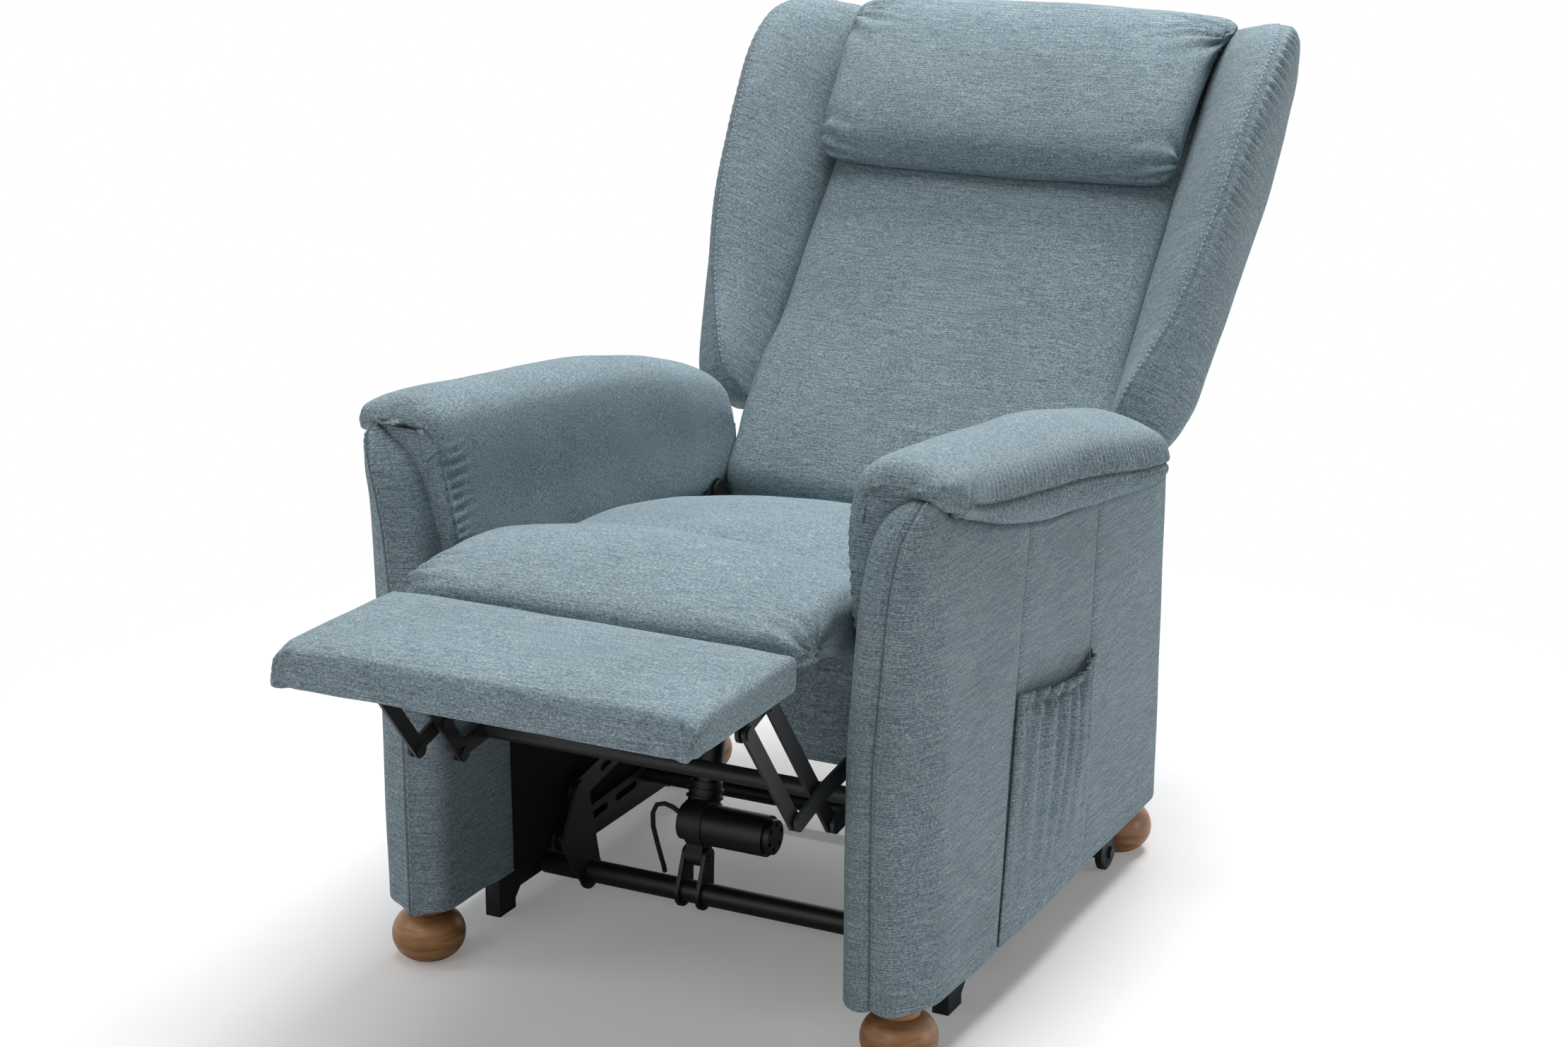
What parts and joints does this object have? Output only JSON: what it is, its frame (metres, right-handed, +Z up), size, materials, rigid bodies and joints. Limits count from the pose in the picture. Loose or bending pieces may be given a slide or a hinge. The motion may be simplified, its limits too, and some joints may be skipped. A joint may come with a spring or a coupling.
{
  "type": "lift recliner",
  "caption": "Upholstered lift recliner with a reclining wing back, a folding footrest, a side pocket, turned feet and a linkage base raised by a linear actuator.",
  "frame": {"origin": "on the floor under the middle of the chair's width and of its length in the shown pose", "axes": "+X to the sitter's left, which is the viewer's right from the front, -Y to the front where the footrest points, +Z up"},
  "size_m": [0.74, 1.524, 1.0123],
  "materials": {
    "chenille": "matte",
    "black_steel": "satin",
    "housing_plastic": "satin",
    "rod_steel": "satin",
    "bolt_steel": "satin",
    "wheel_plastic": "satin",
    "lead_rubber": "matte",
    "turned_wood": "satin",
    "board_wood": "matte",
    "webbing": "matte",
    "lining": "matte"
  },
  "bodies": {
    "base": {"base_rail_left": "black_steel", "base_rail_right": "black_steel", "front_cross_tube": "black_steel", "rear_cross_tube": "black_steel", "lift_bracket_left": "black_steel", "lift_bracket_right": "black_steel", "actuator_bracket": "black_steel"},
    "wheel_left": {"wheel_left": "wheel_plastic"},
    "wheel_right": {"wheel_right": "wheel_plastic"},
    "lift_arms": {"lift_link_left": "black_steel", "lift_link_right": "black_steel", "lift_torque_tube": "black_steel"},
    "control_links": {"control_link_left": "black_steel", "control_link_right": "black_steel"},
    "actuator": {"gearbox_housing": "housing_plastic", "motor_can": "black_steel", "actuator_tube": "black_steel", "motor_lead": "lead_rubber"},
    "actuator_rod": {"actuator_rod": "rod_steel"},
    "chair": {"side_plate_left": "black_steel", "side_plate_right": "black_steel", "lift_cross_tube": "black_steel", "seat_cross_tube": "black_steel", "seat_apron": "chenille", "seat_rear_rail": "board_wood", "seat_webbing": "webbing", "seat_cushion": "chenille", "front_pad": "chenille", "arm_body_left": "chenille", "arm_body_right": "chenille", "arm_facing_left": "chenille", "arm_facing_right": "chenille", "armrest_pad_left": "chenille", "armrest_pad_right": "chenille", "side_pocket": "chenille", "lining_board_left": "lining", "lining_board_right": "lining", "bun_foot_front_left": "turned_wood", "bun_foot_front_right": "turned_wood", "bun_foot_rear_left": "turned_wood", "bun_foot_rear_right": "turned_wood", "arm_bolts": "bolt_steel"},
    "footrest_drive": {"footrest_drive_link_left": "black_steel", "footrest_drive_link_right": "black_steel", "footrest_drive_tube": "black_steel"},
    "footrest_followers": {"footrest_follower_links": "black_steel"},
    "footrest_carriers": {"footrest_carrier_links": "black_steel"},
    "footrest_fronts": {"footrest_front_links": "black_steel"},
    "footrest": {"footrest_brackets": "black_steel", "footrest_board": "board_wood", "footrest_pad": "chenille"},
    "back": {"back_hinge_left": "black_steel", "back_hinge_right": "black_steel", "back_board": "board_wood", "back_cover": "chenille", "back_cushion": "chenille", "head_pillow": "chenille", "wing_left": "chenille", "wing_right": "chenille"}
  },
  "joints": [
    {"name": "wheel_left_spin", "type": "hinge", "parent": "base", "child": "wheel_left", "pos_m": [-0.312, 0.18595, 0.0225], "axis": [1, 0, 0], "continuous": true},
    {"name": "wheel_right_spin", "type": "hinge", "parent": "base", "child": "wheel_right", "pos_m": [0.312, 0.18595, 0.0225], "axis": [1, 0, 0], "continuous": true},
    {"name": "lift", "type": "hinge", "parent": "base", "child": "lift_arms", "pos_m": [0, -0.22205, 0.088], "axis": [1, 0, 0], "range_deg": [0, 37.5]},
    {"name": "chair_tilt", "type": "hinge", "parent": "lift_arms", "child": "chair", "pos_m": [0, 0.07995, 0.1], "axis": [1, 0, 0], "range_deg": [-18.6, 0.1]},
    {"name": "control_swing", "type": "hinge", "parent": "base", "child": "control_links", "pos_m": [0, -0.19205, 0.14], "axis": [1, 0, 0], "range_deg": [-0.1, 33.6]},
    {"name": "actuator_swing", "type": "hinge", "parent": "base", "child": "actuator", "pos_m": [0, -0.16405, 0.075], "axis": [1, 0, 0], "range_deg": [-0.1, 25.2]},
    {"name": "rod_slide", "type": "slide", "parent": "actuator", "child": "actuator_rod", "axis": [0, 0.2601, 0.9656], "range_m": [-0.0002, 0.1097]},
    {"name": "footrest_fold", "type": "hinge", "parent": "chair", "child": "footrest_drive", "pos_m": [0, -0.33305, 0.287], "axis": [1, 0, 0], "range_deg": [0, 86]},
    {"name": "follower_swing", "type": "hinge", "parent": "chair", "child": "footrest_followers", "pos_m": [0, -0.36905, 0.335], "axis": [1, 0, 0], "range_deg": [-0.1, 86.1]},
    {"name": "carrier_swing", "type": "hinge", "parent": "footrest_drive", "child": "footrest_carriers", "pos_m": [0, -0.43605, 0.274], "axis": [1, 0, 0], "range_deg": [-86.1, 0.1]},
    {"name": "front_link_swing", "type": "hinge", "parent": "footrest_followers", "child": "footrest_fronts", "pos_m": [0, -0.52205, 0.308], "axis": [1, 0, 0], "range_deg": [-86.1, 0.1]},
    {"name": "footrest_turn", "type": "hinge", "parent": "footrest_carriers", "child": "footrest", "pos_m": [0, -0.57405, 0.453], "axis": [1, 0, 0], "range_deg": [-0.1, 86.1]},
    {"name": "back_recline", "type": "hinge", "parent": "chair", "child": "back", "pos_m": [0, 0.19595, 0.42], "axis": [1, 0, 0], "range_deg": [-5, 27]}
  ],
  "couplings": [
    {"joint": "chair_tilt", "follows": "lift", "ratio": -0.4935},
    {"joint": "control_swing", "follows": "lift", "ratio": 0.8937},
    {"joint": "actuator_swing", "follows": "lift", "ratio": 0.6686},
    {"joint": "rod_slide", "follows": "lift", "m_per_rad": 0.1671},
    {"joint": "follower_swing", "follows": "footrest_fold", "ratio": 1},
    {"joint": "carrier_swing", "follows": "footrest_fold", "ratio": -1},
    {"joint": "front_link_swing", "follows": "footrest_fold", "ratio": -1},
    {"joint": "footrest_turn", "follows": "footrest_fold", "ratio": 1}
  ]
}
